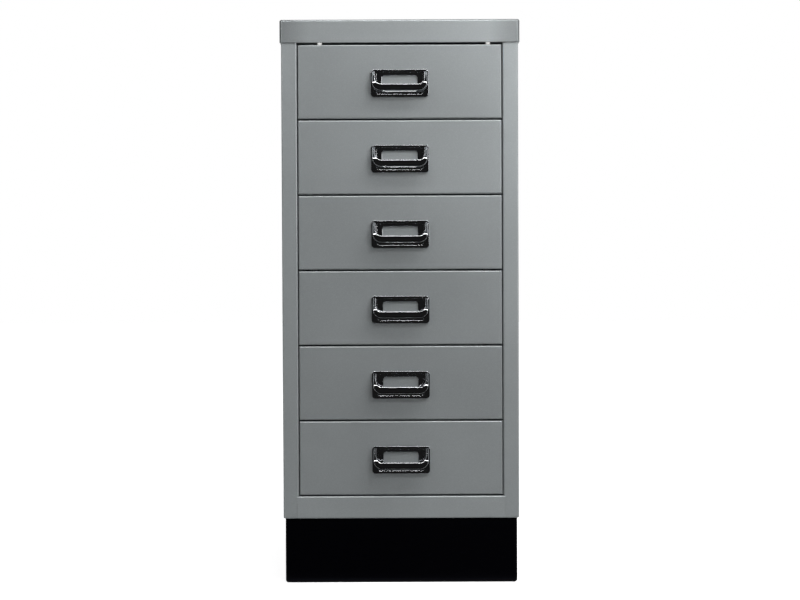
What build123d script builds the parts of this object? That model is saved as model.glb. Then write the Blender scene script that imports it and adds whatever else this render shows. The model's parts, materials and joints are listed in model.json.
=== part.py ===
from build123d import *

import math
import os

# A six-drawer steel cabinet for A4 paper on a black plinth. Millimetres, +Z up, the front faces -Y.
# The origin is under the middle of the whole thing, handles included, on the floor.

# Carcass
cap_width = 280.0
cap_depth = 380.0
cap_skirt = 27.0
cap_bend = 2.4
cap_fit = 0.1
hem_height = 9.0
sheet = 0.8
bend = 1.6
post_width = 18.3
post_return = 13.0
rail_height = 26.0
rail_seam = 0.15
rail_lap = 2.0
rail_lip = 8.0
weld_flange = 12.0
weld_fit = 0.1

# Plinth
plinth_height = 76.0
plinth_inset = 2.2
plinth_sheet = 1.0
plinth_bend = 3.5
plinth_foot_flange = 20.0
plinth_top_flange = 24.0
plinth_screw = 5.0
plinth_screw_hole_fit = 0.5
plinth_screw_head = 9.5
plinth_screw_head_height = 3.2
plinth_screw_from_side = 10.5
plinth_screw_from_end = 22.0
plinth_nut_across_flats = 8.0
plinth_nut_height = 4.0
screw_end = 2.0

# Drawer fronts
drawer_count = 6
front_height = 86.2
front_depth = 14.0
front_lip = 16.0
drawer_gap = 1.8
top_gap = 2.2
side_gap = 1.1

# Drawer trays
tray_sheet = 0.7
tray_bend = 2.5
tray_floor_rise = 1.2
tray_height = 81.3
tray_flange = 9.5
tray_flange_bend = 1.5
tray_corner_cut = 6.0
tray_lip = 7.0

# Runners, the uprights that carry them and the glides that run in them
runner_height = 10.6
runner_depth = 9.2
runner_lip = 7.2
runner_from_front = 2.0
runner_from_back = 3.0
runner_setback = 0.2
tray_to_runner = 2.0
upright_crown = 30.0
upright_flange = 10.0
upright_from_end = 24.0
upright_end_gap = 2.0
glide_length = 24.0
glide_running_gap = 0.3
glide_grip = 6.0
glide_chamfer = 0.8
glide_slot_fit = 0.05
drawer_travel = 280.0

# Nylon buffers over the top drawer
buffer_left = 93.3
buffer_right = 103.3
buffer_head = 5.0
buffer_stem = 3.0
buffer_stem_fit = 0.1
buffer_from_front = 4.4
buffer_running_gap = 0.3
top_rail_rise = 0.4
top_rail_from_front = 1.0
top_rail_web = 20.0

# Handle: a label frame with a bow pull in one casting
handle_width = 67.7
handle_height = 32.1
handle_corner = 4.0
handle_plate = 3.0
handle_edge_round = 0.5
handle_below_centre = 2.2
handle_reach = 17.0
window_width = 40.6
window_height = 18.0
window_from_top = 6.9
window_corner = 3.0
window_edge_round = 0.9
recess_from_side = 6.8
recess_from_top = 3.2
recess_from_bottom = 3.4
recess_depth = 0.9
recess_corner = 3.0
recess_edge_round = 0.4
pocket_from_side = 9.8
pocket_from_bottom = 3.5
pocket_depth = 0.9
bow_from_side = 1.6
bow_from_top = 17.7
bow_arm = 3.4
bow_arm_from_top = 2.0
bow_bar = 7.8
bow_thickness = 3.4
bow_bend = 4.0
bow_bend_rise = 1.7
bow_corner = 10.5
bow_gap_corner = 7.0
bow_edge_round = 1.1
stud_from_side = 4.8
stud_diameter = 4.0
stud_above_centre = 4.0
stud_length = 6.0
stud_hole_fit = 0.2
clip_diameter = 9.0
clip_thickness = 0.8
clip_fit = 0.05

# Worked out from the sizes above
cap_overhang = 2 * sheet + cap_fit
cap_corner = bend + 2 * sheet
cap_half = cap_width / 2
body_half = cap_half - cap_overhang
opening_half = body_half - post_width
overall_depth = cap_depth + handle_reach - cap_overhang
body_front = handle_reach - overall_depth / 2
body_back = overall_depth / 2 - cap_overhang
body_base = plinth_height
rail_top = body_base + rail_height
drawer_pitch = front_height + drawer_gap
skirt_bottom = rail_top + drawer_count * drawer_pitch + top_gap
cap_top = skirt_bottom + cap_skirt
body_top = cap_top - sheet
floor_top = body_base + 2 * sheet
back_inside = body_back - 2 * sheet

front_half = opening_half - side_gap
front_back = body_front + front_depth
runner_outside = opening_half + runner_setback
runner_inside = runner_outside - runner_depth
runner_front = front_back + runner_from_front
runner_back = back_inside - runner_from_back
tray_half = runner_inside - tray_to_runner
tray_back = runner_back - sheet - glide_running_gap
tray_top_rise = tray_floor_rise + tray_height
flange_end = tray_half + tray_flange
flange_middle_rise = tray_top_rise - tray_sheet / 2
runner_bottom_rise = flange_middle_rise - runner_height / 2
glide_outside = runner_outside - sheet - glide_running_gap
glide_inside = glide_outside - glide_grip
carried_glide_front = tray_back - glide_length
fixed_glide_back = carried_glide_front - drawer_travel - glide_running_gap


def block(x, y, z):
    """A block between pairs of limits along each axis."""
    centre = Pos((x[0] + x[1]) / 2, (y[0] + y[1]) / 2, (z[0] + z[1]) / 2)
    return centre * Box(x[1] - x[0], y[1] - y[0], z[1] - z[0])


def bent_strip(plane, points, thickness, radius, near, far):
    """Sheet folded along points on its outer face, drawn on plane and run between two distances from it."""
    path = FilletPolyline(*points, radius=radius)
    outline = offset(path, amount=thickness, side=Side.LEFT, closed=True)
    return extrude(plane.offset(near) * make_face(outline), far - near)


def side_view():
    """A drawing plane seen from the right: local x is +Y, local y is +Z and it stands off along +X."""
    return Plane(origin=(0, 0, 0), x_dir=(0, 1, 0), z_dir=(1, 0, 0))


def front_bottom(number):
    """Height of the lower edge of a drawer's front, counted from the top drawer."""
    return rail_top + drawer_gap + (drawer_count - number) * drawer_pitch


def both_sides(shape):
    """The shape and its mirror image across the middle of the cabinet."""
    return [shape, mirror(shape, about=Plane.YZ)]


def cut_all(shape, tools):
    for tool in tools:
        shape = shape - tool
    return shape


def joined(shapes):
    """Separate pieces kept in one node, such as a set of like fasteners."""
    solids = []
    for shape in shapes:
        solids.extend(shape.solids())
    return Compound(children=solids)


# Carcass


def plinth_screw_places():
    x = body_half - plinth_screw_from_side
    front = body_front + plinth_screw_from_end
    back = body_back - plinth_screw_from_end
    return [(side * x, y) for side in (-1, 1) for y in (front, back)]


def plinth_screw_holes(bottom, top):
    radius = (plinth_screw + plinth_screw_hole_fit) / 2
    height = top - bottom
    return [Pos(x, y, bottom + height / 2) * Cylinder(radius, height) for x, y in plinth_screw_places()]


def top_cap():
    """A pressed lid whose skirt ends in a hem folded up inside it."""
    y_front = body_front - cap_overhang
    y_back = body_back + cap_overhang
    outer = block((-cap_half, cap_half), (y_front, y_back), (skirt_bottom, cap_top))
    outer = fillet(outer.edges().filter_by(Axis.Z), cap_corner)
    outer = fillet(outer.edges().group_by(Axis.Z)[-1], cap_bend)
    outer = fillet(outer.edges().group_by(Axis.Z)[0], sheet * 0.9)
    half = cap_half - sheet
    inner = block((-half, half), (y_front + sheet, y_back - sheet), (skirt_bottom + hem_height, body_top))
    inner = fillet(inner.edges().filter_by(Axis.Z), cap_corner - sheet)
    inner = fillet(inner.edges().group_by(Axis.Z)[-1], cap_bend - sheet)
    half = cap_half - 2 * sheet
    y_mouth = (y_front + 2 * sheet, y_back - 2 * sheet)
    mouth = block((-half, half), y_mouth, (skirt_bottom - 1, skirt_bottom + hem_height))
    mouth = fillet(mouth.edges().filter_by(Axis.Z), cap_corner - 2 * sheet)
    return outer - inner - mouth


def right_side_panel():
    """One sheet: side wall, front post with its return, and flanges at the back, top and bottom."""
    inner_bend = bend - sheet
    outer = block((opening_half, body_half), (body_front, body_back), (body_base, body_top))
    beside_or_in_front = [
        edge
        for edge in outer.edges()
        if edge.center().X > opening_half + bend or edge.center().Y < body_front + bend
    ]
    outer = fillet(beside_or_in_front, bend)
    wall = body_half - sheet
    post_back = body_front + post_return
    z_inside = (body_base + sheet, body_top - sheet)
    post_hollow = block((opening_half + sheet, wall), (body_front + sheet, post_back + bend), z_inside)
    post_hollow = fillet(post_hollow.edges().filter_by(Axis.Z).group_by(Axis.Y)[0], inner_bend)
    hollow = block((opening_half - 1, wall), (post_back, body_back - sheet), z_inside)
    hollow = fillet(hollow.edges().group_by(Axis.X)[-1], inner_bend)
    notch_z = (body_base - 1, rail_top)
    notch = block((opening_half - 1, opening_half + rail_lap), (body_front - 1, post_back + 1), notch_z)
    holes = plinth_screw_holes(body_base - 1, body_base + sheet + 1)
    return cut_all(outer - post_hollow - hollow - notch, holes)


def back_panel():
    """Flat sheet inside the back flanges, folded forward along its top and bottom."""
    y_outer = body_back - sheet
    y_fold = y_outer - weld_flange
    points = [(y_fold, floor_top), (y_outer, floor_top), (y_outer, body_top), (y_fold, body_top)]
    half = body_half - bend - weld_fit
    panel = bent_strip(side_view(), points, sheet, bend, -half, half)
    beside = (opening_half - weld_fit, body_half)
    top_corner = block(beside, (y_fold - 1, body_back), (body_top - sheet - weld_fit, body_top + 1))
    low_corner = block(beside, (y_fold - 1, y_outer - sheet), (floor_top - 1, floor_top + bend))
    return cut_all(panel, both_sides(top_corner) + both_sides(low_corner))


def base_pan():
    """Cabinet floor, lying on the side panels' bottom flanges, with its sides folded up."""
    half = body_half - sheet - weld_fit
    z_low = body_base + sheet
    z_fold = z_low + weld_flange
    points = [(-half, z_fold), (-half, z_low), (half, z_low), (half, z_fold)]
    near = -(back_inside - weld_fit)
    far = -(body_front + sheet + bend)
    pan = bent_strip(Plane.XZ, points, sheet, bend, near, far)
    return cut_all(pan, plinth_screw_holes(body_base - 1, floor_top + 1))


def bottom_rail():
    """Channel across the front under the lowest drawer, butted between the two posts."""
    y_back = body_front + post_return
    points = [
        (y_back, rail_top - rail_lip),
        (y_back, rail_top),
        (body_front, rail_top),
        (body_front, body_base),
        (body_front + weld_flange, body_base),
    ]
    half = opening_half + rail_lap - rail_seam
    return bent_strip(side_view(), points, sheet, bend, -half, half)


def top_rail_bottom():
    return skirt_bottom + top_rail_rise


def buffer_places():
    y = body_front + buffer_from_front
    return [(-buffer_left, y), (buffer_right, y)]


def top_rail():
    """Channel behind the cap's skirt that ties the posts and carries the buffers."""
    y_face = body_front + top_rail_from_front
    z_low = top_rail_bottom()
    y_web = y_face + top_rail_web
    points = [(y_face + weld_flange, body_top), (y_face, body_top), (y_face, z_low), (y_web, z_low)]
    half = opening_half - weld_fit
    rail = bent_strip(side_view(), points, sheet, bend, -half, half)
    radius = buffer_stem / 2 + buffer_stem_fit
    return cut_all(rail, [Pos(x, y, z_low) * Cylinder(radius, 4 * sheet) for x, y in buffer_places()])


def top_buffers():
    """Nylon buttons plugged up through the top rail, with their heads just clear of the top drawer."""
    head_height = top_rail_bottom() - (skirt_bottom - top_gap) - buffer_running_gap
    buttons = []
    for x, y in buffer_places():
        head = Pos(x, y, top_rail_bottom() - head_height / 2) * Cylinder(buffer_head / 2, head_height)
        head = fillet(head.edges().group_by(Axis.Z)[0], head_height / 3)
        stem = Pos(x, y, top_rail_bottom() + sheet) * Cylinder(buffer_stem / 2, 2 * sheet)
        barb_height = 2 * sheet
        barb_place = Pos(x, y, top_rail_bottom() + sheet + weld_fit + barb_height / 2)
        barb = barb_place * Cone(buffer_stem / 2 + 2 * buffer_stem_fit, buffer_stem / 3, barb_height)
        buttons.append(head + stem + barb)
    return joined(buttons)


def right_upright(y_start):
    """Hat section standing against the side panel; its crown carries the runners."""
    wall = body_half - sheet
    crown = runner_outside + sheet
    y_crown = y_start + upright_flange
    y_crown_end = y_crown + upright_crown
    points = [
        (wall, y_start),
        (wall, y_crown),
        (crown, y_crown),
        (crown, y_crown_end),
        (wall, y_crown_end),
        (wall, y_crown_end + upright_flange),
    ]
    bottom = body_base + sheet + weld_flange + upright_end_gap
    return bent_strip(Plane.XY, points, sheet, bend, bottom, body_top - sheet - upright_end_gap)


def right_runner(number):
    """Channel that holds a tray's flange, closed at the back by a folded stop."""
    z_low = front_bottom(number) + runner_bottom_rise
    z_high = z_low + runner_height
    points = [
        (runner_inside, z_low),
        (runner_outside, z_low),
        (runner_outside, z_high),
        (runner_outside - runner_lip, z_high),
    ]
    channel = bent_strip(Plane.XZ, points, sheet, bend, -runner_back, -runner_front)
    inner_bend = bend - sheet
    stop_x = (runner_inside + inner_bend, runner_outside - inner_bend)
    stop_z = (z_low + sheet / 2, z_high - sheet / 2)
    stop = block(stop_x, (runner_back - sheet, runner_back), stop_z)
    return channel + stop


def runner_glides():
    """Nylon blocks fixed near the front of the runners' ledges, which carry the trays and stop them."""
    blocks = []
    for number in range(1, drawer_count + 1):
        z_ledge = front_bottom(number) + runner_bottom_rise + sheet
        z_flange = front_bottom(number) + tray_top_rise - tray_sheet
        y = (fixed_glide_back - glide_length, fixed_glide_back)
        glide = block((glide_inside, glide_outside), y, (z_ledge, z_flange - glide_running_gap))
        glide = fillet(glide.edges().group_by(Axis.X)[-1].group_by(Axis.Z)[0], bend - sheet)
        glide = chamfer(glide.edges().filter_by(Axis.X).group_by(Axis.Z)[-1], glide_chamfer)
        blocks.extend(both_sides(glide))
    return joined(blocks)


def plinth_frame():
    """Black base: four walls with rounded bends and flanges turned in at the foot and the top."""
    half = body_half - plinth_inset
    y = (body_front + plinth_inset, body_back - plinth_inset)
    outer = block((-half, half), y, (0, plinth_height))
    outer = fillet(outer.edges().filter_by(Axis.Z) + outer.edges().group_by(Axis.Z)[0], plinth_bend)
    wall = plinth_sheet
    y_inner = (y[0] + wall, y[1] - wall)
    inner = block((wall - half, half - wall), y_inner, (wall, plinth_height - wall))
    inner = fillet(inner.edges().filter_by(Axis.Z) + inner.edges().group_by(Axis.Z)[0], plinth_bend - wall)
    openings = []
    for flange, z in (
        (plinth_foot_flange, (-1, 2 * wall)),
        (plinth_top_flange, (plinth_height - 2 * wall, plinth_height + 1)),
    ):
        mouth = block((flange - half, half - flange), (y[0] + flange, y[1] - flange), z)
        openings.append(fillet(mouth.edges().filter_by(Axis.Z), plinth_bend))
    holes = plinth_screw_holes(plinth_height - 2 * wall, plinth_height + 1)
    return cut_all(outer - inner, openings + holes)


def plinth_screws():
    """Pan-head screws up through the plinth's top flange, the side flanges and the cabinet floor."""
    seat = plinth_height - plinth_sheet
    tip = floor_top + plinth_nut_height + screw_end
    screws = []
    for x, y in plinth_screw_places():
        head = Pos(x, y, seat - plinth_screw_head_height / 2)
        head = head * Cylinder(plinth_screw_head / 2, plinth_screw_head_height)
        head = fillet(head.edges().group_by(Axis.Z)[0], plinth_screw_head_height / 2)
        shank = Pos(x, y, (seat + tip) / 2) * Cylinder(plinth_screw / 2, tip - seat)
        screws.append(head + shank)
    return joined(screws)


def plinth_nuts():
    nuts = []
    for x, y in plinth_screw_places():
        outline = RegularPolygon(plinth_nut_across_flats / 2, 6, major_radius=False)
        nut = extrude(Pos(x, y, floor_top) * outline, plinth_nut_height)
        bore = Pos(x, y, floor_top) * Cylinder(plinth_screw / 2 + clip_fit, 3 * plinth_nut_height)
        nuts.append(nut - bore)
    return joined(nuts)


# Drawers


def handle_middle(number):
    return front_bottom(number) + front_height / 2 - handle_below_centre


def stud_places():
    """Places of the handle's studs from its middle, across and up."""
    x = handle_width / 2 - stud_from_side
    return [(-x, stud_above_centre), (x, stud_above_centre)]


def drawer_front(number):
    """Folded pan with lips turned in at the back, which lie on the tray's front wall."""
    z_low = front_bottom(number)
    z_high = z_low + front_height
    outer = block((-front_half, front_half), (body_front, front_back), (z_low, z_high))
    outer = fillet(outer.edges().group_by(Axis.Y)[0], bend)
    half = front_half - sheet
    z_inside = (z_low + sheet, z_high - sheet)
    inner = block((-half, half), (body_front + sheet, front_back - sheet), z_inside)
    inner = fillet(inner.edges().group_by(Axis.Y)[0], bend - sheet)
    half = front_half - front_lip
    mouth_z = (z_low + front_lip, z_high - front_lip)
    mouth = block((-half, half), (front_back - 2 * sheet, front_back + 1), mouth_z)
    radius = stud_diameter / 2 + stud_hole_fit
    holes = []
    for x, z in stud_places():
        place = Pos(x, body_front, handle_middle(number) + z) * Rot(90, 0, 0)
        holes.append(place * Cylinder(radius, 4 * sheet))
    return cut_all(outer - inner - mouth, holes)


def drawer_tray(number):
    """Deep tray with rounded bends, and flanges folded outward that hang in the runners."""
    z_low = front_bottom(number) + tray_floor_rise
    z_high = z_low + tray_height
    outer = block((-tray_half, tray_half), (front_back, tray_back), (z_low, z_high))
    outer = fillet(outer.edges().filter_by(Axis.Z) + outer.edges().group_by(Axis.Z)[0], tray_bend)
    half = tray_half - tray_sheet
    y_inside = (front_back + tray_sheet, tray_back - tray_sheet)
    inner = block((-half, half), y_inside, (z_low + tray_sheet, z_high + tray_sheet))
    inner_bend = tray_bend - tray_sheet
    inner = fillet(inner.edges().filter_by(Axis.Z) + inner.edges().group_by(Axis.Z)[0], inner_bend)
    flange_front = front_back + tray_bend + glide_running_gap
    cut_z = (z_high - tray_corner_cut, z_high + 1)
    corner = block((half, tray_half + 1), (flange_front, tray_back + 1), cut_z)
    tray = cut_all(outer - inner, both_sides(corner))
    points = [(flange_end, z_high), (half, z_high), (half, z_high - tray_corner_cut)]
    flange = bent_strip(Plane.XZ, points, tray_sheet, tray_flange_bend, -tray_back, -flange_front)
    lip_points = [
        (y_inside[1], z_high - tray_corner_cut),
        (y_inside[1], z_high),
        (y_inside[1] - tray_lip, z_high),
    ]
    lip_half = tray_half - tray_bend
    lip = bent_strip(side_view(), lip_points, tray_sheet, tray_flange_bend, -lip_half, lip_half)
    for piece in both_sides(flange) + [lip]:
        tray = tray + piece
    return tray


def drawer_glides(number):
    """Nylon blocks clipped over the back ends of the tray's flanges."""
    z_low = front_bottom(number) + runner_bottom_rise + sheet + glide_running_gap
    z_high = front_bottom(number) + runner_bottom_rise + runner_height - sheet - glide_running_gap
    z_flange = front_bottom(number) + tray_top_rise
    slot_z = (z_flange - tray_sheet - glide_slot_fit, z_flange + glide_slot_fit)
    y = (carried_glide_front, tray_back)
    glide = block((glide_inside, glide_outside), y, (z_low, z_high))
    glide = fillet(glide.edges().filter_by(Axis.Y).group_by(Axis.X)[-1], bend - sheet)
    glide = chamfer(glide.edges().filter_by(Axis.X), glide_chamfer)
    slot = block((glide_inside - 1, flange_end + glide_slot_fit), (y[0] - 1, y[1] + 1), slot_z)
    return joined(both_sides(glide - slot))


def sharp_edges(shape):
    """Edges where two faces meet at an angle, which leaves out the seams of bends and roundings."""
    sharp = []
    for edge in shape.edges():
        one, other = [face.normal_at(edge @ 0.5) for face in shape.faces() if edge in face.edges()]
        if abs(one.dot(other)) < 0.95:
            sharp.append(edge)
    return sharp


def bow_pull():
    """Bent strap cut to a U: narrow arms lean out from the plate's top to an upright finger bar."""
    bar_top = handle_height / 2 - bow_from_top
    bar_bottom = bar_top - bow_bar
    arm_top = handle_height / 2 - bow_arm_from_top
    slope = (arm_top - bar_top - bow_bend_rise) / (handle_reach - handle_plate)
    root = 2 * handle_plate
    points = [
        (root, arm_top + (root + handle_plate) * slope),
        (-handle_reach, bar_top + bow_bend_rise),
        (-handle_reach, bar_bottom),
    ]
    half = handle_width / 2 - bow_from_side
    strap = bent_strip(side_view(), points, bow_thickness, bow_bend, -half, half)
    outline = Pos(0, bar_bottom + handle_height) * Rectangle(2 * half, 2 * handle_height)
    outline = fillet(outline.vertices().group_by(Axis.Y)[0], bow_corner)
    gap = Pos(0, bar_top + handle_height) * Rectangle(2 * (half - bow_arm), 2 * handle_height)
    gap = fillet(gap.vertices().group_by(Axis.Y)[0], bow_gap_corner)
    front_view = Plane.XZ.offset(-2 * root) * (outline - gap)
    pull = strap & extrude(front_view, 2 * root + handle_reach + 1)
    rounded = [edge for edge in sharp_edges(pull) if edge.center().Y < 0]
    return fillet(rounded, bow_edge_round)


def handle_casting():
    """Label frame and pull, made about the middle of its back face."""
    half_height = handle_height / 2
    outline = RectangleRounded(handle_width, handle_height, handle_corner)
    plate = extrude(Plane.XZ * outline, handle_plate)
    plate = fillet(plate.edges().group_by(Axis.Y)[0], handle_edge_round)
    size = (handle_width - 2 * recess_from_side, handle_height - recess_from_top - recess_from_bottom)
    outline = Pos(0, (recess_from_bottom - recess_from_top) / 2) * RectangleRounded(*size, recess_corner)
    frame = plate - extrude(Plane.XZ.offset(handle_plate - recess_depth) * outline, handle_reach)
    lip = frame.faces().sort_by(Axis.Y)[0].inner_wires()[0]
    frame = fillet(lip.edges(), recess_edge_round)
    window = RectangleRounded(window_width, window_height, window_corner)
    window = Pos(0, half_height - window_from_top - window_height / 2) * window
    frame = frame - extrude(Plane.XZ.offset(-1) * window, 2 * handle_reach)
    recess_y = recess_depth - handle_plate
    floor = [face for face in frame.faces() if abs(face.center().Y - recess_y) < 0.01 and face.inner_wires()]
    frame = fillet(floor[0].inner_wires()[0].edges(), window_edge_round)
    whole = (-handle_width, handle_width)
    pull = bow_pull() - block(whole, (-handle_plate / 2, handle_reach), whole)
    pocket_half = handle_width / 2 - pocket_from_side
    pocket_z = (pocket_from_bottom - half_height, half_height + 1)
    casting = frame + pull - block((-pocket_half, pocket_half), (-pocket_depth, 1), pocket_z)
    for x, z in stud_places():
        stud = Pos(x, (stud_length - handle_plate / 2) / 2, z) * Rot(90, 0, 0)
        casting = casting + stud * Cylinder(stud_diameter / 2, stud_length + handle_plate / 2)
    return casting


def handle_clips(number):
    """Push-on spring clips on the studs, inside the hollow front."""
    clips = []
    y = body_front + sheet + clip_thickness / 2
    for x, z in stud_places():
        place = Pos(x, y, handle_middle(number) + z) * Rot(90, 0, 0)
        disc = Cylinder(clip_diameter / 2, clip_thickness)
        clips.append(place * (disc - Cylinder(stud_diameter / 2 + clip_fit, 2 * clip_thickness)))
    return joined(clips)


# The whole cabinet


def carcass_nodes():
    front_upright = right_upright(body_front + upright_from_end)
    upright_run = 2 * upright_flange + upright_crown
    rear_upright = right_upright(back_inside - upright_from_end - upright_run)
    nodes = {
        "top_cap": top_cap(),
        "back_panel": back_panel(),
        "base_pan": base_pan(),
        "bottom_rail": bottom_rail(),
        "top_rail": top_rail(),
        "top_buffers": top_buffers(),
        "runner_glides": runner_glides(),
        "plinth_frame": plinth_frame(),
        "plinth_screws": plinth_screws(),
        "plinth_nuts": plinth_nuts(),
    }
    for name, shape in (
        ("side_panel", right_side_panel()),
        ("front_upright", front_upright),
        ("rear_upright", rear_upright),
    ):
        nodes[f"right_{name}"], nodes[f"left_{name}"] = both_sides(shape)
    for number in range(1, drawer_count + 1):
        nodes[f"right_runner_{number}"], nodes[f"left_runner_{number}"] = both_sides(right_runner(number))
    return nodes


def drawer_nodes(number, casting):
    return {
        f"drawer_{number}_front": drawer_front(number),
        f"drawer_{number}_tray": drawer_tray(number),
        f"drawer_{number}_glides": drawer_glides(number),
        f"drawer_{number}_handle": Pos(0, body_front, handle_middle(number)) * casting,
        f"drawer_{number}_handle_clips": handle_clips(number),
    }


nodes = carcass_nodes()
casting = handle_casting()
for number in range(1, drawer_count + 1):
    nodes.update(drawer_nodes(number, casting))

os.makedirs("parts", exist_ok=True)
for name, shape in nodes.items():
    export_step(shape, f"parts/{name}.step")
print(len(nodes), "nodes, overall height", round(cap_top, 1), "depth", round(overall_depth, 1))
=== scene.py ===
import json
import math

import bpy
from mathutils import Euler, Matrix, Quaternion, Vector


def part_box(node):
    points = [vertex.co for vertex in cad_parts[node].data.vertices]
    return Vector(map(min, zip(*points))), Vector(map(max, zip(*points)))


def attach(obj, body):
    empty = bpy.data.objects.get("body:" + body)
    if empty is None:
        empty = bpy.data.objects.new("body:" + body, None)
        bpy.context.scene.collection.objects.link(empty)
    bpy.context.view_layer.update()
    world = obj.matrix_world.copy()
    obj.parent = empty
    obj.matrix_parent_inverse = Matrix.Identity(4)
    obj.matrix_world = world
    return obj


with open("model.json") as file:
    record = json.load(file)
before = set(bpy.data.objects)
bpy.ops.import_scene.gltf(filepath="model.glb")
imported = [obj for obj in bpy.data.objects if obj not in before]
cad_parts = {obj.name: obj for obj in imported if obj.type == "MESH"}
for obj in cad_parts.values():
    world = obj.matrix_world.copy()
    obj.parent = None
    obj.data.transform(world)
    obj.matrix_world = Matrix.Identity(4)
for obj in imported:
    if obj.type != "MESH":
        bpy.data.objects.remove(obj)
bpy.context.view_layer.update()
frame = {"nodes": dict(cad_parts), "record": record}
nodes = frame["nodes"]
drawerNumbers = range(1, 7)

# the camera stands a little above the middle and looks slightly down
camera = {
    "place": (-0.0006, -2.3807, 0.3790),
    "lookDown": 1.226,
    "roll": -0.234,
    "lens": 84.66,
    "sensor": 36.0,
    "nearest": 0.1,
    "farthest": 40.0,
}


def makeCamera():
    data = bpy.data.cameras.new("photoCamera")
    data.lens = camera["lens"]
    data.sensor_width = camera["sensor"]
    data.clip_start = camera["nearest"]
    data.clip_end = camera["farthest"]
    eye = bpy.data.objects.new("photoCamera", data)
    bpy.context.scene.collection.objects.link(eye)
    eye.location = camera["place"]
    level = Euler((math.radians(90 - camera["lookDown"]), 0, 0)).to_quaternion()
    eye.rotation_mode = "QUATERNION"
    eye.rotation_quaternion = level @ Quaternion((0, 0, 1), math.radians(camera["roll"]))
    bpy.context.scene.camera = eye
    print("camera set")


# helpers for materials
def newMaterial(name):
    material = bpy.data.materials.new(name)
    material.use_nodes = True
    tree = material.node_tree
    tree.nodes.clear()
    output = tree.nodes.new("ShaderNodeOutputMaterial")
    shader = tree.nodes.new("ShaderNodeBsdfPrincipled")
    tree.links.new(shader.outputs["BSDF"], output.inputs["Surface"])
    return material, tree, shader


def newGroup(name, inputs, outputs):
    tree = bpy.data.node_groups.new(name, "ShaderNodeTree")
    for label, kind, value in inputs:
        socket = tree.interface.new_socket(label, in_out="INPUT", socket_type=kind)
        socket.default_value = value
    for label, kind in outputs:
        tree.interface.new_socket(label, in_out="OUTPUT", socket_type=kind)
    return tree, tree.nodes.new("NodeGroupInput"), tree.nodes.new("NodeGroupOutput")


def addNoise(tree, vector, scale, detail=2.0, roughness=0.5):
    noise = tree.nodes.new("ShaderNodeTexNoise")
    noise.inputs["Scale"].default_value = scale
    noise.inputs["Detail"].default_value = detail
    noise.inputs["Roughness"].default_value = roughness
    tree.links.new(vector, noise.inputs["Vector"])
    return noise.outputs["Fac"]


def addMath(tree, operation, first, second=0.0, clamp=False):
    node = tree.nodes.new("ShaderNodeMath")
    node.operation = operation
    node.use_clamp = clamp
    for socket, value in zip(node.inputs, (first, second)):
        if isinstance(value, (int, float)):
            socket.default_value = value
        else:
            tree.links.new(value, socket)
    return node.outputs[0]


def addRange(tree, value, low, high, newLow, newHigh):
    node = tree.nodes.new("ShaderNodeMapRange")
    node.inputs["From Min"].default_value = low
    node.inputs["From Max"].default_value = high
    node.inputs["To Min"].default_value = newLow
    node.inputs["To Max"].default_value = newHigh
    tree.links.new(value, node.inputs["Value"])
    return node.outputs["Result"]


def addMix(tree, factor, first, second):
    node = tree.nodes.new("ShaderNodeMix")
    node.data_type = "RGBA"
    sockets = (node.inputs[0], node.inputs[6], node.inputs[7])
    for socket, value in zip(sockets, (factor, first, second)):
        if hasattr(value, "is_output"):
            tree.links.new(value, socket)
        else:
            socket.default_value = value
    return node.outputs[2]


def placeGroup(tree, group, values):
    node = tree.nodes.new("ShaderNodeGroup")
    node.node_tree = group
    for label, value in values.items():
        if hasattr(value, "is_output"):
            tree.links.new(value, node.inputs[label])
        else:
            node.inputs[label].default_value = value
    return node


def bumpFrom(tree, height, shader, strength, distance):
    bump = tree.nodes.new("ShaderNodeBump")
    bump.inputs["Strength"].default_value = strength
    bump.inputs["Distance"].default_value = distance
    tree.links.new(height, bump.inputs["Height"])
    tree.links.new(bump.outputs["Normal"], shader.inputs["Normal"])


def objectPoint(tree):
    return tree.nodes.new("ShaderNodeTexCoord").outputs["Object"]


# stove paint: fine metal flake, an orange-peel skin and a slow drift of tone
paintSkin = {
    "driftScale": 7.0,
    "driftGloss": 2.0,
    "flakeScale": 1900.0,
    "flakeFrom": 0.55,
    "peelScale": 420.0,
    "peelDepth": 0.00005,
    "waveScale": 60.0,
    "waveShare": 0.6,
    "dustDull": 0.3,
    "rubGloss": 0.1,
}


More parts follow.
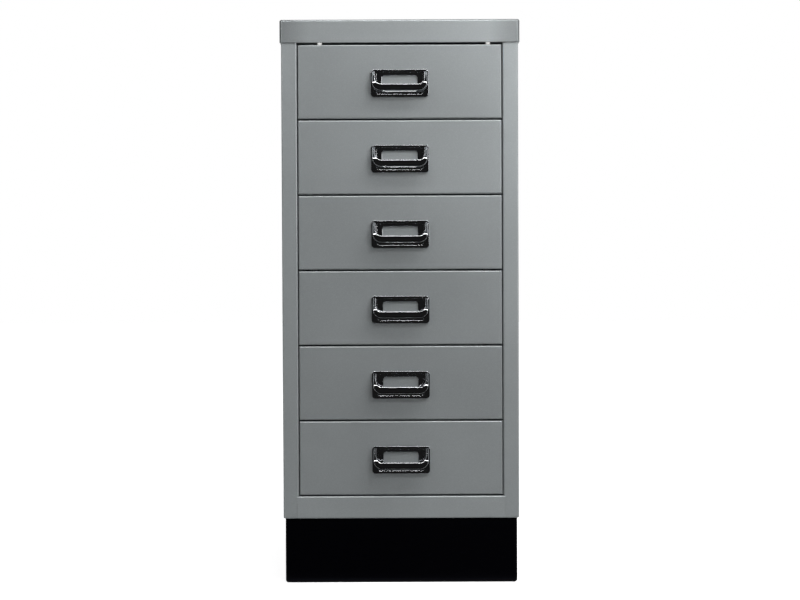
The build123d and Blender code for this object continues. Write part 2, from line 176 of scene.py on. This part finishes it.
def makePaintSkin():
    group, given, made = newGroup(
        "paintSkin",
        [
            ("Vector", "NodeSocketVector", (0, 0, 0)),
            ("Colour", "NodeSocketColor", (0.3, 0.3, 0.3, 1)),
            ("Flake Colour", "NodeSocketColor", (0.5, 0.5, 0.5, 1)),
            ("Flake Amount", "NodeSocketFloat", 0.3),
            ("Tone Drift", "NodeSocketFloat", 0.04),
            ("Gloss", "NodeSocketFloat", 0.4),
        ],
        [
            ("Colour", "NodeSocketColor"),
            ("Roughness", "NodeSocketFloat"),
            ("Height", "NodeSocketFloat"),
        ],
    )
    vector = given.outputs["Vector"]
    slow = addNoise(group, vector, paintSkin["driftScale"], 3.0)
    flakes = group.nodes.new("ShaderNodeTexVoronoi")
    flakes.inputs["Scale"].default_value = paintSkin["flakeScale"]
    group.links.new(vector, flakes.inputs["Vector"])
    sparkle = group.nodes.new("ShaderNodeSeparateColor")
    group.links.new(flakes.outputs["Color"], sparkle.inputs["Color"])
    lit = addRange(group, sparkle.outputs["Red"], paintSkin["flakeFrom"], 1.0, 0.0, 1.0)
    amount = addMath(group, "MULTIPLY", lit, given.outputs["Flake Amount"])
    flaked = addMix(group, amount, given.outputs["Colour"], given.outputs["Flake Colour"])
    centred = addMath(group, "SUBTRACT", slow, 0.5)
    drift = addMath(group, "MULTIPLY", centred, given.outputs["Tone Drift"])
    tone = group.nodes.new("ShaderNodeHueSaturation")
    group.links.new(flaked, tone.inputs["Color"])
    group.links.new(addMath(group, "ADD", drift, 1.0), tone.inputs["Value"])
    group.links.new(tone.outputs["Color"], made.inputs["Colour"])
    peel = addNoise(group, vector, paintSkin["peelScale"], 2.0)
    wave = addNoise(group, vector, paintSkin["waveScale"], 1.0)
    swell = addMath(group, "MULTIPLY", wave, paintSkin["waveShare"])
    group.links.new(addMath(group, "ADD", swell, peel), made.inputs["Height"])
    uneven = addMath(group, "MULTIPLY", drift, paintSkin["driftGloss"])
    rough = addMath(group, "ADD", given.outputs["Gloss"], uneven)
    group.links.new(rough, made.inputs["Roughness"])
    return group


# hair-fine rubbing marks that run one way, for paint and chrome
scuffMarks = {
    "stretch": 14.0,
    "hairScale": 620.0,
    "hairRange": (0.62, 0.72),
    "patchScale": 16.0,
    "patchRange": (0.45, 0.7),
}


def makeScuffs():
    group, given, made = newGroup(
        "fineScuffs",
        [
            ("Vector", "NodeSocketVector", (0, 0, 0)),
            ("Stretch", "NodeSocketFloat", scuffMarks["stretch"]),
            ("Density", "NodeSocketFloat", 0.5),
        ],
        [("Mask", "NodeSocketFloat")],
    )
    split = group.nodes.new("ShaderNodeSeparateXYZ")
    group.links.new(given.outputs["Vector"], split.inputs[0])
    drawn = group.nodes.new("ShaderNodeCombineXYZ")
    stretched = addMath(group, "DIVIDE", split.outputs[0], given.outputs["Stretch"])
    group.links.new(stretched, drawn.inputs[0])
    group.links.new(split.outputs[1], drawn.inputs[1])
    group.links.new(split.outputs[2], drawn.inputs[2])
    hairs = addNoise(group, drawn.outputs[0], scuffMarks["hairScale"], 1.0)
    patches = addNoise(group, given.outputs["Vector"], scuffMarks["patchScale"], 2.0)
    thin = addRange(group, hairs, *scuffMarks["hairRange"], 0.0, 1.0)
    local = addRange(group, patches, *scuffMarks["patchRange"], 0.0, 1.0)
    worn = addMath(group, "MULTIPLY", thin, local)
    mask = addMath(group, "MULTIPLY", worn, given.outputs["Density"], clamp=True)
    group.links.new(mask, made.inputs["Mask"])
    return group


# thin dust that settles on faces that look up
dustFall = {
    "colour": (0.46, 0.45, 0.43),
    "facing": (0.55, 0.98),
    "patchScale": 24.0,
    "patchRange": (0.35, 0.8),
    "thinnest": 0.2,
}


def makeDust():
    group, given, made = newGroup(
        "settledDust",
        [("Vector", "NodeSocketVector", (0, 0, 0)), ("Amount", "NodeSocketFloat", 0.2)],
        [("Mask", "NodeSocketFloat")],
    )
    geometry = group.nodes.new("ShaderNodeNewGeometry")
    split = group.nodes.new("ShaderNodeSeparateXYZ")
    group.links.new(geometry.outputs["Normal"], split.inputs[0])
    up = addRange(group, split.outputs[2], *dustFall["facing"], 0.0, 1.0)
    patches = addNoise(group, given.outputs["Vector"], dustFall["patchScale"], 5.0, 0.6)
    drift = addRange(group, patches, *dustFall["patchRange"], dustFall["thinnest"], 1.0)
    laid = addMath(group, "MULTIPLY", up, drift)
    mask = addMath(group, "MULTIPLY", laid, given.outputs["Amount"], clamp=True)
    group.links.new(mask, made.inputs["Mask"])
    return group


def makePaint(name, skin, look):
    material, tree, shader = newMaterial(name)
    point = objectPoint(tree)
    coat = placeGroup(tree, skin, {
        "Vector": point,
        "Colour": (*look["colour"], 1),
        "Flake Colour": (*look["flake"], 1),
        "Flake Amount": look["flakeAmount"],
        "Tone Drift": look["drift"],
        "Gloss": look["roughness"],
    })
    colour = coat.outputs["Colour"]
    # painted shade: the cap's colour darkens towards both ends, standing in for the light
    # falling off there
    if look.get("endShade"):  # the cap's ends are darkened, to match the photo
        split = tree.nodes.new("ShaderNodeSeparateXYZ")
        tree.links.new(point, split.inputs[0])
        reach = addMath(tree, "ABSOLUTE", split.outputs[0])
        shade = addRange(tree, reach, look["endFrom"], look["endTo"], 0.0, look["endShade"])
        colour = addMix(tree, shade, colour, (0, 0, 0, 1))
    dust = placeGroup(tree, effects["dust"], {"Vector": point, "Amount": look["dust"]})
    scuffs = placeGroup(tree, effects["scuffs"], {"Vector": point, "Density": look["scuffs"]})
    colour = addMix(tree, dust.outputs["Mask"], colour, (*dustFall["colour"], 1))
    tree.links.new(colour, shader.inputs["Base Color"])
    dulled = addMath(tree, "MULTIPLY", dust.outputs["Mask"], paintSkin["dustDull"])
    rubbed = addMath(tree, "MULTIPLY", scuffs.outputs["Mask"], paintSkin["rubGloss"])
    rough = addMath(tree, "ADD", coat.outputs["Roughness"], dulled)
    rough = addMath(tree, "SUBTRACT", rough, rubbed)
    tree.links.new(rough, shader.inputs["Roughness"])
    shader.inputs["Metallic"].default_value = look["metallic"]
    shader.inputs["Specular IOR Level"].default_value = look["specular"]
    bumpFrom(tree, coat.outputs["Height"], shader, look["peel"], paintSkin["peelDepth"])
    return material


cabinetPaint = {
    "colour": (0.365, 0.392, 0.400),
    "flake": (0.52, 0.545, 0.555),
    "flakeAmount": 0.3,
    "drift": 0.08,
    "roughness": 0.40,
    "metallic": 0.5,
    "specular": 0.5,
    "peel": 0.3,
    "dust": 0.12,
    "scuffs": 0.8,
}
# the cap paint carries a painted shade at both ends (endShade, endFrom, endTo)
capPaint = dict(
    cabinetPaint,
    colour=(0.350, 0.376, 0.384),
    flake=(0.50, 0.524, 0.533),
    endShade=0.33,
    endFrom=0.105,
    endTo=0.138,
)
drawerPaint = dict(cabinetPaint, colour=(0.335, 0.360, 0.368), flake=(0.50, 0.525, 0.535))
plinthPaint = {
    "colour": (0.0003, 0.0003, 0.0013),
    "flake": (0.002, 0.002, 0.004),
    "flakeAmount": 0.2,
    "drift": 0.1,
    "roughness": 0.5,
    "metallic": 0.0,
    "specular": 0.03,
    "peel": 0.4,
    "dust": 0.03,
    "scuffs": 0.6,
}
# tones set towards the photo's brightness, not differences seen in the real paint
# painted light and shade: each drawer front and the bottom rail is made brighter or darker than
# its paint, in place of the light that falls on it
frontLightTone = {1: 0.98, 2: 1.02, 3: 0.98, 4: 0.95, 5: 0.93, 6: 1.0}
railLightTone = 1.06


def toned(look, tone):
    tinted = {part: tuple(value * tone for value in look[part]) for part in ("colour", "flake")}
    return dict(look, **tinted)


chromePlate = {
    "colour": (0.60, 0.61, 0.63),
    "roughness": 0.07,
    "haze": 0.04,
    "hazeScale": 160.0,
    "hazeRange": (0.35, 0.75),
    "ripple": 0.0015,
    "rippleScale": 220.0,
    "rippleDepth": 0.0002,
    "scuffs": 0.5,
    "scuffDull": 0.12,
}


def makeChrome():
    material, tree, shader = newMaterial("chromePlate")
    point = objectPoint(tree)
    shader.inputs["Base Color"].default_value = (*chromePlate["colour"], 1)
    shader.inputs["Metallic"].default_value = 1.0
    haze = addNoise(tree, point, chromePlate["hazeScale"], 4.0)
    clear = chromePlate["roughness"]
    rough = addRange(tree, haze, *chromePlate["hazeRange"], clear, clear + chromePlate["haze"])
    density = chromePlate["scuffs"]
    scuffs = placeGroup(tree, effects["scuffs"], {"Vector": point, "Density": density})
    dulled = addMath(tree, "MULTIPLY", scuffs.outputs["Mask"], chromePlate["scuffDull"])
    tree.links.new(addMath(tree, "ADD", rough, dulled), shader.inputs["Roughness"])
    ripples = addNoise(tree, point, chromePlate["rippleScale"], 1.0)
    bumpFrom(tree, ripples, shader, chromePlate["ripple"], chromePlate["rippleDepth"])
    return material


# painted light: the two buffers glow with their own colour, though they are no lamp
# the glow is set: the lamps alone leave the two buffers darker than in the photo
nylonLook = {
    "colour": (0.82, 0.82, 0.79),
    "shade": 0.93,
    "patchScale": 50.0,
    "roughness": (0.36, 0.48),
    "grain": 0.2,
    "grainScale": 900.0,
    "grainRange": (0.2, 0.8),
    "grainDepth": 0.00005,
    "bufferGlow": 0.7,
}


def makeNylon(name, glow):
    material, tree, shader = newMaterial(name)
    # painted light when glow is above zero: the nylon gives off light of its own colour
    shader.inputs["Emission Color"].default_value = (*nylonLook["colour"], 1)
    shader.inputs["Emission Strength"].default_value = glow
    point = objectPoint(tree)
    grain = addNoise(tree, point, nylonLook["grainScale"], 2.0)
    rough = addRange(tree, grain, *nylonLook["grainRange"], *nylonLook["roughness"])
    tree.links.new(rough, shader.inputs["Roughness"])
    shaded = tuple(value * nylonLook["shade"] for value in nylonLook["colour"])
    patches = addNoise(tree, point, nylonLook["patchScale"])
    colour = addMix(tree, patches, (*nylonLook["colour"], 1), (*shaded, 1))
    tree.links.new(colour, shader.inputs["Base Color"])
    bumpFrom(tree, grain, shader, nylonLook["grain"], nylonLook["grainDepth"])
    return material


zincLook = {
    "colour": (0.60, 0.61, 0.62),
    "dull": (0.46, 0.47, 0.49),
    "spangleScale": 260.0,
    "roughness": (0.26, 0.44),
    "grain": 0.15,
    "grainScale": 700.0,
    "grainDepth": 0.00005,
}


def makeZinc():
    material, tree, shader = newMaterial("zincPlate")
    point = objectPoint(tree)
    spangle = tree.nodes.new("ShaderNodeTexVoronoi")
    spangle.inputs["Scale"].default_value = zincLook["spangleScale"]
    tree.links.new(point, spangle.inputs["Vector"])
    split = tree.nodes.new("ShaderNodeSeparateColor")
    tree.links.new(spangle.outputs["Color"], split.inputs["Color"])
    colour = addMix(tree, split.outputs["Red"], (*zincLook["colour"], 1), (*zincLook["dull"], 1))
    tree.links.new(colour, shader.inputs["Base Color"])
    rough = addRange(tree, split.outputs["Green"], 0.0, 1.0, *zincLook["roughness"])
    tree.links.new(rough, shader.inputs["Roughness"])
    shader.inputs["Metallic"].default_value = 1.0
    grain = addNoise(tree, point, zincLook["grainScale"])
    bumpFrom(tree, grain, shader, zincLook["grain"], zincLook["grainDepth"])
    return material


effects = {"scuffs": makeScuffs(), "dust": makeDust()}


def dressNodes():
    skin = makePaintSkin()
    looks = {
        "cap": makePaint("capPaint", skin, capPaint),
        # the rail's copy of the cabinet paint is brightened as painted light
        "rail": makePaint("railPaintLightTone", skin, toned(cabinetPaint, railLightTone)),
        "buffers": makeNylon("bufferNylon", nylonLook["bufferGlow"]),
        "cabinet_paint": makePaint("cabinetPaint", skin, cabinetPaint),
        "drawer_paint": makePaint("drawerPaint", skin, drawerPaint),
        "plinth_paint": makePaint("plinthPaint", skin, plinthPaint),
        "chrome": makeChrome(),
        "nylon": makeNylon("whiteNylon", 0.0),
        "zinc": makeZinc(),
    }
    slotOf = {part["node"]: part["material_slot"] for part in frame["record"]["subparts"]}
    slotOf.update({"top_cap": "cap", "top_buffers": "buffers", "bottom_rail": "rail"})
    for number in drawerNumbers:
        front = "drawer_%d_front" % number
        # each front gets its own copy of the drawer paint, brightened or darkened as painted
        # light and shade
        look = toned(drawerPaint, frontLightTone[number])
        looks[front] = makePaint("frontPaintLightTone%d" % number, skin, look)
        slotOf[front] = front
    for name, piece in nodes.items():
        piece.data.materials.clear()
        piece.data.materials.append(looks[slotOf[name]])
    print("materials on", len(nodes), "nodes")
    return looks


# guessed spot welds, faint on the back flanges and where the uprights meet the sides
weldSpots = {
    "Count": 12,
    "Pitch": 0.045,
    "Foot": 0.105,
    "Radius": 0.0032,
    "Height": 0.0005,
    "Sunk": 0.00006,
    "Back X": 0.1292,
    "Front Y": -0.1452,
    "Rear Y": 0.1562,
}
weldShape = {
    "sides": 20,
    "crown": 0.6,
    "smallest": (0.85, 0.85, 1.0),
    "largest": (1.1, 1.1, 1.0),
}


def makeWeldSpots(material):
    tree = bpy.data.node_groups.new("weldSpots", "GeometryNodeTree")
    tree.interface.new_socket("Geometry", in_out="OUTPUT", socket_type="NodeSocketGeometry")
    sockets = {}
    for label, value in dict(weldSpots, **{"Side X": 0.1, "Back Y": 0.1}).items():
        kind = "NodeSocketInt" if label == "Count" else "NodeSocketFloat"
        socket = tree.interface.new_socket(label, in_out="INPUT", socket_type=kind)
        sockets[label] = socket.identifier
    tree.interface.new_socket("Paint", in_out="INPUT", socket_type="NodeSocketMaterial")
    sockets["Paint"] = tree.interface.items_tree["Paint"].identifier
    given, made = tree.nodes.new("NodeGroupInput"), tree.nodes.new("NodeGroupOutput")
    dome = tree.nodes.new("GeometryNodeMeshCone")
    dome.inputs["Vertices"].default_value = weldShape["sides"]
    crown = addMath(tree, "MULTIPLY", given.outputs["Radius"], weldShape["crown"])
    tree.links.new(given.outputs["Radius"], dome.inputs["Radius Bottom"])
    tree.links.new(crown, dome.inputs["Radius Top"])
    tree.links.new(given.outputs["Height"], dome.inputs["Depth"])
    rise = tree.nodes.new("ShaderNodeCombineXYZ")
    tree.links.new(given.outputs["Pitch"], rise.inputs[2])
    joined = tree.nodes.new("GeometryNodeJoinGeometry")

    def addColumn(x, y, turn, seed):
        foot = tree.nodes.new("ShaderNodeCombineXYZ")
        for socket, value in zip(foot.inputs, (x, y, given.outputs["Foot"])):
            tree.links.new(value, socket)
        line = tree.nodes.new("GeometryNodeMeshLine")
        tree.links.new(given.outputs["Count"], line.inputs["Count"])
        tree.links.new(foot.outputs[0], line.inputs["Start Location"])
        tree.links.new(rise.outputs[0], line.inputs["Offset"])
        size = tree.nodes.new("FunctionNodeRandomValue")
        size.data_type = "FLOAT_VECTOR"
        size.inputs[0].default_value = weldShape["smallest"]
        size.inputs[1].default_value = weldShape["largest"]
        size.inputs["Seed"].default_value = seed
        spots = tree.nodes.new("GeometryNodeInstanceOnPoints")
        spots.inputs["Rotation"].default_value = turn
        tree.links.new(line.outputs["Mesh"], spots.inputs["Points"])
        tree.links.new(dome.outputs["Mesh"], spots.inputs["Instance"])
        tree.links.new(size.outputs[0], spots.inputs["Scale"])
        tree.links.new(spots.outputs[0], joined.inputs[0])

    def mirrored(value):
        return addMath(tree, "MULTIPLY", value, -1.0)

    quarter = math.pi / 2
    backX = given.outputs["Back X"]
    backY = addMath(tree, "SUBTRACT", given.outputs["Back Y"], given.outputs["Sunk"])
    sideX = addMath(tree, "SUBTRACT", given.outputs["Side X"], given.outputs["Sunk"])
    addColumn(backX, backY, (-quarter, 0, 0), 3)
    addColumn(mirrored(backX), backY, (-quarter, 0, 0), 5)
    for number, label in enumerate(("Front Y", "Rear Y")):
        addColumn(sideX, given.outputs[label], (0, quarter, 0), 11 + number)
        addColumn(mirrored(sideX), given.outputs[label], (0, -quarter, 0), 17 + number)
    whole = tree.nodes.new("GeometryNodeRealizeInstances")
    painted = tree.nodes.new("GeometryNodeSetMaterial")
    tree.links.new(joined.outputs[0], whole.inputs[0])
    tree.links.new(whole.outputs[0], painted.inputs["Geometry"])
    tree.links.new(given.outputs["Paint"], painted.inputs["Material"])
    tree.links.new(painted.outputs[0], made.inputs[0])

    spots = bpy.data.objects.new("weldSpots", bpy.data.meshes.new("weldSpots"))
    bpy.context.scene.collection.objects.link(spots)
    maker = spots.modifiers.new("weldSpots", "NODES")
    maker.node_group = tree
    sideHigh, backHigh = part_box("right_side_panel")[1][:2]
    values = dict(weldSpots, **{"Side X": sideHigh, "Back Y": backHigh, "Paint": material})
    for label, value in values.items():
        maker[sockets[label]] = value
    bpy.context.view_layer.update()
    evaluated = spots.evaluated_get(bpy.context.evaluated_depsgraph_get())
    shape = bpy.data.meshes.new_from_object(evaluated)
    spots.modifiers.clear()
    spots.data = shape
    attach(spots, "cabinet")
    print("weld spots", len(shape.polygons), "faces")


# studio: white ground and backdrop, with a few soft lamps
studio = {
    "ambient": 0.42,
    "floorHalf": 9.0,
    "floorColour": 0.80,
    "floorLift": 0.72,
    "floorRoughness": 0.9,
    "keyPlace": (0.12, -1.15, 1.95),
    "keyAim": (0.0, -0.18, 0.42),
    "keySize": (2.0, 0.5),
    "keyPower": 5.0,
    "sidePlace": (0.9, -1.0, 1.7),
    "sideAim": (0.0, -0.18, 0.35),
    "sideSize": (1.1, 1.1),
    "sidePower": 28.0,
    "rearPlace": (1.9, 1.9, 1.7),
    "rearAim": (0.0, 0.1, 0.35),
    "rearSize": (1.2, 1.2),
    "rearPower": 11.0,
}


def whenSeen(tree):
    path = tree.nodes.new("ShaderNodeLightPath")
    seen = addMath(tree, "MAXIMUM", path.outputs["Is Camera Ray"], path.outputs["Is Glossy Ray"])
    return addMath(tree, "MAXIMUM", seen, path.outputs["Is Transmission Ray"])


def makeWorld():
    world = bpy.data.worlds.new("studioWorld")
    bpy.context.scene.world = world
    world.use_nodes = True
    tree = world.node_tree
    tree.nodes.clear()
    output = tree.nodes.new("ShaderNodeOutputWorld")
    background = tree.nodes.new("ShaderNodeBackground")
    background.inputs["Color"].default_value = (1, 1, 1, 1)
    strength = addRange(tree, whenSeen(tree), 0.0, 1.0, studio["ambient"], 1.0)
    tree.links.new(strength, background.inputs["Strength"])
    tree.links.new(background.outputs[0], output.inputs["Surface"])


def levelCard(x, y, z):
    return [(x[0], y[0], z), (x[1], y[0], z), (x[1], y[1], z), (x[0], y[1], z)]


def uprightCard(start, end, low, high):
    return [(*start, low), (*end, low), (*end, high), (*start, high)]


def makeFloor():
    half = studio["floorHalf"]
    mesh = bpy.data.meshes.new("paleFloor")
    mesh.from_pydata(levelCard((-half, half), (-half, half), 0), [], [(0, 1, 2, 3)])
    floor = bpy.data.objects.new("paleFloor", mesh)
    bpy.context.scene.collection.objects.link(floor)
    material, tree, shader = newMaterial("paleFloor")
    tone = studio["floorColour"]
    shader.inputs["Base Color"].default_value = (tone, tone, tone, 1)
    shader.inputs["Roughness"].default_value = studio["floorRoughness"]
    shader.inputs["Specular IOR Level"].default_value = 0.0
    shader.inputs["Emission Color"].default_value = (1, 1, 1, 1)
    lift = addMath(tree, "MULTIPLY", whenSeen(tree), studio["floorLift"])
    tree.links.new(lift, shader.inputs["Emission Strength"])
    mesh.materials.append(material)


def makeLight(name, part, side=1):
    x, y, z = studio[part + "Place"]
    place = Vector((side * x, y, z))
    data = bpy.data.lights.new(name, "AREA")
    data.shape = "RECTANGLE"
    data.size, data.size_y = studio[part + "Size"]
    data.energy = studio[part + "Power"]
    lamp = bpy.data.objects.new(name, data)
    bpy.context.scene.collection.objects.link(lamp)
    lamp.location = place
    toAim = Vector(studio[part + "Aim"]) - place
    lamp.rotation_euler = toAim.to_track_quat("-Z", "Y").to_euler()
    lamp.visible_glossy = False  # cards stand in for the lamps in reflections


def makeCard(name, corners, strength):
    mesh = bpy.data.meshes.new(name)
    mesh.from_pydata(corners, [], [(0, 1, 2, 3)])
    card = bpy.data.objects.new(name, mesh)
    bpy.context.scene.collection.objects.link(card)
    material = bpy.data.materials.new(name)
    material.use_nodes = True
    tree = material.node_tree
    tree.nodes.clear()
    output = tree.nodes.new("ShaderNodeOutputMaterial")
    glow = tree.nodes.new("ShaderNodeEmission")
    glow.inputs["Color"].default_value = (strength, strength, strength, 1)
    glow.inputs["Strength"].default_value = 1.0
    tree.links.new(glow.outputs[0], output.inputs["Surface"])
    mesh.materials.append(material)
    for way in ("visible_camera", "visible_diffuse", "visible_shadow", "visible_transmission"):
        setattr(card, way, False)


# dark and bright cards that only reflections see
darkRoom = {
    "side": 2.6,
    "front": -3.4,
    "back": 3.4,
    "over": 3.4,
    "top": 3.2,
    "floor": 0.004,
    "foot": -0.185,
    "tone": 0.012,
}
softCards = {
    "left": {"x": (-1.9, -1.9), "y": (-1.7, -1.45), "z": (0.55, 2.2), "tone": 1.2},
    "right": {"x": (2.1, 2.1), "y": (-1.5, -1.2), "z": (0.3, 2.0), "tone": 1.6},
    "over": {"x": (-0.9, 1.1), "y": (-1.32, -1.02), "z": (1.95, 1.95), "tone": 14.0},
    "nearRight": {"x": (0.29, 0.73), "y": (-1.2, -1.2), "z": (0.92, 1.29), "tone": 10.0},
    "highLeft": {"x": (-0.88, -0.51), "y": (-1.2, -1.2), "z": (0.85, 1.29), "tone": 7.5},
    "midRight": {"x": (0.51, 0.88), "y": (-1.2, -1.2), "z": (0.41, 0.78), "tone": 6.0},
}


def makeStudio():
    makeWorld()
    makeFloor()
    makeLight("softKey", "key")
    makeLight("softSide", "side")
    makeLight("softRear", "rear", -1)
    makeLight("softRear", "rear")
    side, front, back = darkRoom["side"], darkRoom["front"], darkRoom["back"]
    top, low, tone = darkRoom["top"], darkRoom["floor"], darkRoom["tone"]
    wide = (-side, side)
    makeCard("darkFront", uprightCard((-side, front), (side, front), low, top), tone)
    makeCard("darkLeft", uprightCard((-side, front), (-side, back), low, top), tone)
    makeCard("darkRight", uprightCard((side, front), (side, back), low, top), tone)
    makeCard("darkTop", levelCard(wide, (front, darkRoom["over"]), top), tone)
    makeCard("darkTable", levelCard(wide, (front, darkRoom["foot"]), low), tone)
    for name, card in softCards.items():
        (left, right), (start, end), (low, high) = card["x"], card["y"], card["z"]
        if low == high:
            corners = levelCard((left, right), (start, end), low)
        else:
            corners = uprightCard((left, start), (right, end), low, high)
        makeCard(name + "Card", corners, card["tone"])
    print("studio lit")


makeCamera()
looks = dressNodes()
makeWeldSpots(looks["cabinet_paint"])
makeStudio()

bpy.context.scene.view_settings.view_transform = "Standard"
